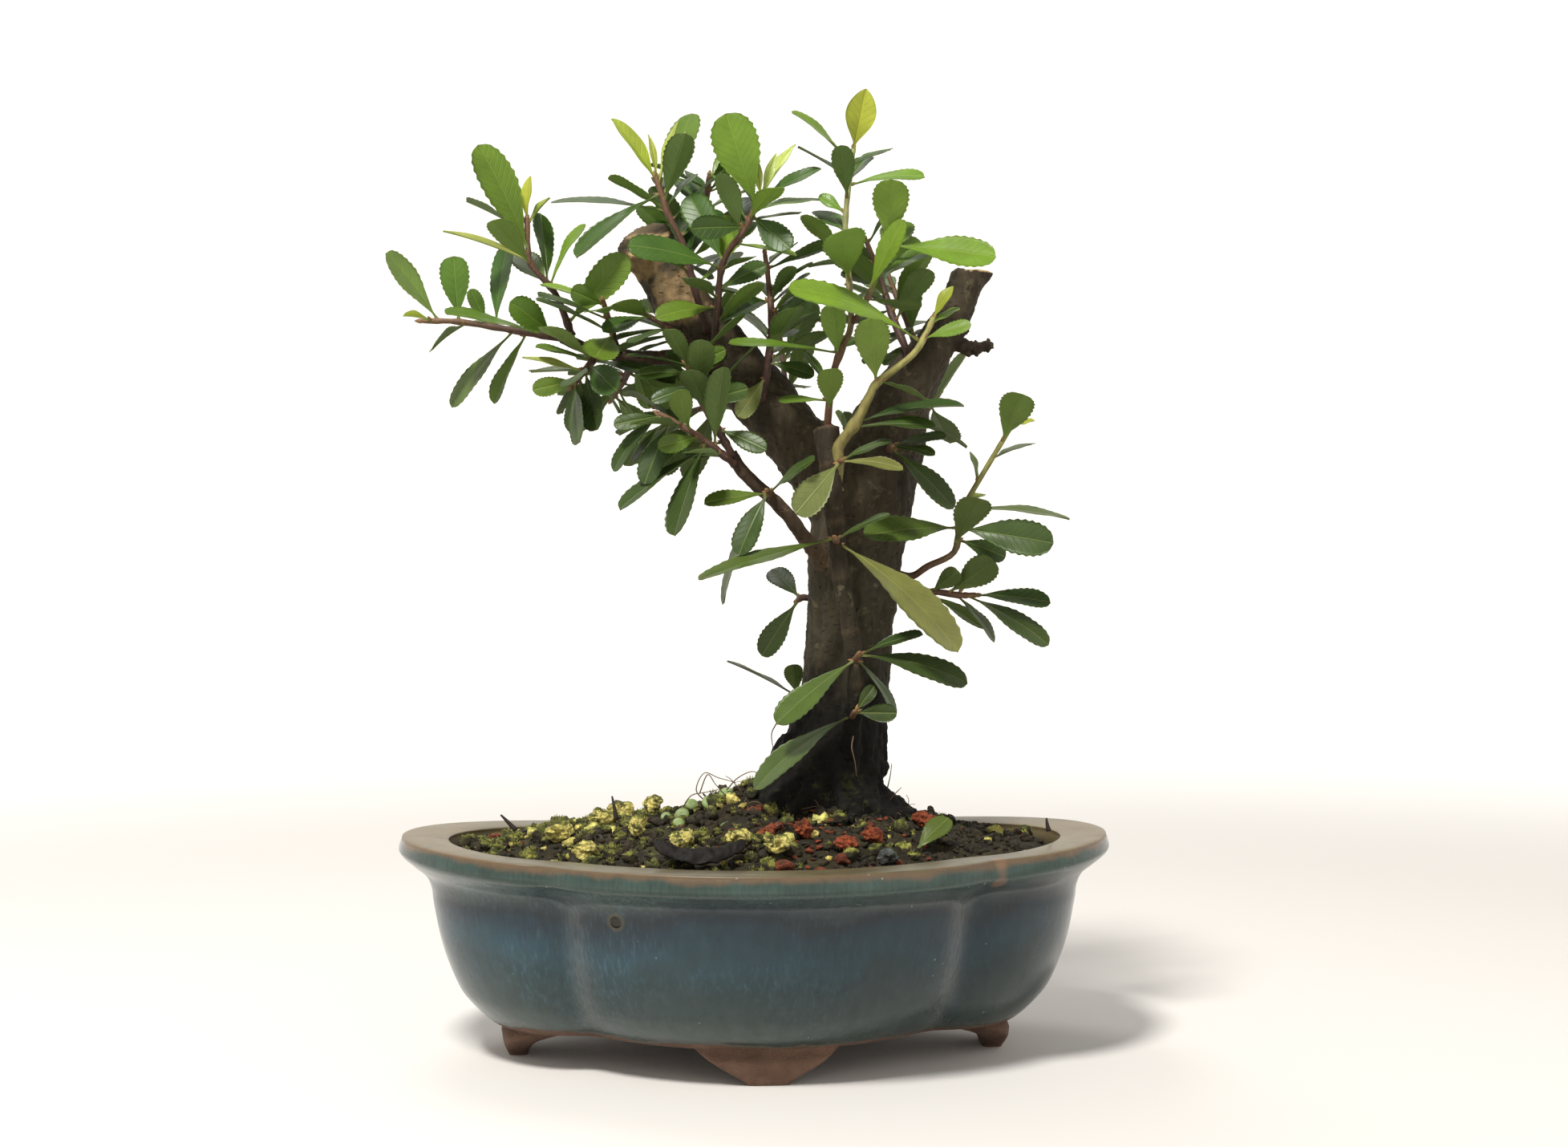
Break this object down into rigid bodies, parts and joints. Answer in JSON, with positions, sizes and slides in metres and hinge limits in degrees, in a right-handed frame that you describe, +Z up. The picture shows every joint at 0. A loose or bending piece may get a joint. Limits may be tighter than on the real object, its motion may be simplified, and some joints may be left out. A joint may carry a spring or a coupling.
{
  "type": "firethorn bonsai in a glazed pot",
  "caption": "Small firethorn bonsai with cut-back limbs, leafy shoots and mossy stones, growing in a low four-lobed glazed pot on bracket feet.",
  "frame": {"origin": "middle of the pot on the surface that its four feet stand on", "axes": "+X along the pot's long side, towards the bonsai's bare limb; +Y across the pot, away from the side that is seen first; +Z up"},
  "size_m": [0.2031, 0.15, 0.267],
  "materials": {
    "glaze": "blue-green reduction glaze, tan where it runs thin on the rim, bare brown feet",
    "netting": "black drain netting",
    "soil": "dark damp potting mix",
    "bark": "grey-brown bark, near black at the wet base",
    "leaf_dark": "older dark green leaves",
    "leaf_mid": "mid green leaves",
    "leaf_bright": "young bright green leaves",
    "leaf_olive": "leaves seen from their olive side",
    "pumice": "rough pumice with yellow-green moss",
    "lava": "rough red lava",
    "grey_stone": "rough grey stone",
    "bark_chip": "wet dark bark"
  },
  "bodies": {
    "root": {"pot": "glaze", "screen_left": "netting", "screen_right": "netting", "soil": "soil", "trunk": "bark", "shoot_far_left": "leaf_mid", "shoot_upper_left": "leaf_bright", "shoot_lower_left": "leaf_dark", "shoot_drooping": "leaf_dark", "shoot_mid_left": "leaf_dark", "shoot_bough_spur": "leaf_dark", "shoot_upper": "leaf_dark", "shoot_centre": "leaf_mid", "shoot_top": "leaf_bright", "shoot_olive": "leaf_olive", "spur_stem_top": "leaf_olive", "spur_stem_mid": "leaf_olive", "spur_stem_low": "leaf_dark", "spur_stem_base": "leaf_dark", "spur_trunk_right": "leaf_dark", "shoot_right": "leaf_dark", "shoot_right_low": "leaf_dark", "spur_trunk_left": "leaf_dark", "spur_trunk_low": "leaf_dark", "shoot_inner": "leaf_dark", "shoot_inner_left": "leaf_dark", "shoot_bough_up": "leaf_mid", "shoot_bough_back": "leaf_dark", "shoot_top_back": "leaf_mid", "shoot_right_back": "leaf_mid", "shoot_back_right": "leaf_dark", "shoot_back_left": "leaf_dark", "shoot_back_mid": "leaf_dark", "shoot_back_low": "leaf_dark", "shoot_back_out": "leaf_dark", "shoot_back_side": "leaf_dark", "pumice_1": "pumice", "pumice_2": "pumice", "pumice_3": "pumice", "pumice_4": "pumice", "pumice_5": "pumice", "pumice_6": "pumice", "pumice_7": "pumice", "pumice_8": "pumice", "pumice_9": "pumice", "lava_1": "lava", "lava_2": "lava", "lava_3": "lava", "lava_4": "lava", "lava_5": "lava", "lava_6": "lava", "grey_stone": "grey_stone", "bark_chip": "bark_chip", "loose_leaf": "leaf_bright"}
  },
  "joints": []
}
